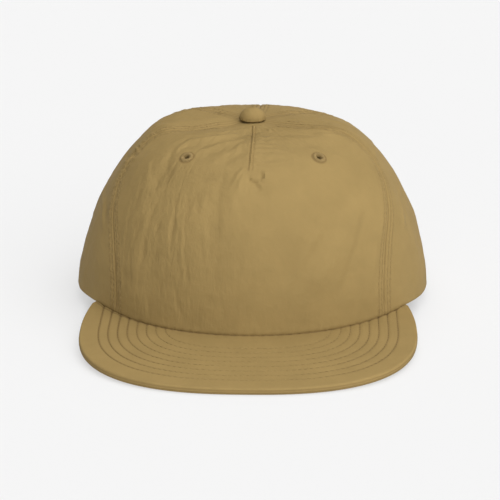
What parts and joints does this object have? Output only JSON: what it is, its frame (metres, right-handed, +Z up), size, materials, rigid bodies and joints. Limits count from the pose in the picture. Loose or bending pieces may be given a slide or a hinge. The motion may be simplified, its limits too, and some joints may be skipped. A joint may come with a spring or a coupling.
{
  "type": "surf cap",
  "caption": "Soft nylon surf cap: wrinkled panelled crown with a front dart, covered button, sewn eyelets, wide flat stitched peak, sweatband, and a webbing strap with buckle at the rear.",
  "frame": {"origin": "the middle of the bounding box, on the flat surface that the cap rests on", "axes": "-Y is the way the peak points, +X is the wearer's left, and +Z is up from the surface"},
  "size_m": [0.1936, 0.2508, 0.1037],
  "materials": {
    "crown_cloth": "crinkled nylon, soft sheen",
    "peak_cloth": "nylon over a stiff board, stitched in rows",
    "button_cloth": "gathered nylon",
    "thread": "matt polyester thread",
    "sweatband_cloth": "matt cotton twill",
    "webbing": "ribbed nylon webbing",
    "buckle_plastic": "satin moulded plastic"
  },
  "bodies": {
    "root": {"front_panel": "crown_cloth", "side_panel_left": "crown_cloth", "side_panel_right": "crown_cloth", "back_panel_left": "crown_cloth", "back_panel_right": "crown_cloth", "peak": "peak_cloth", "button": "button_cloth", "eyelet_left": "thread", "eyelet_right": "thread", "sweatband": "sweatband_cloth", "rear_strap": "webbing", "strap_buckle": "buckle_plastic"}
  },
  "joints": []
}
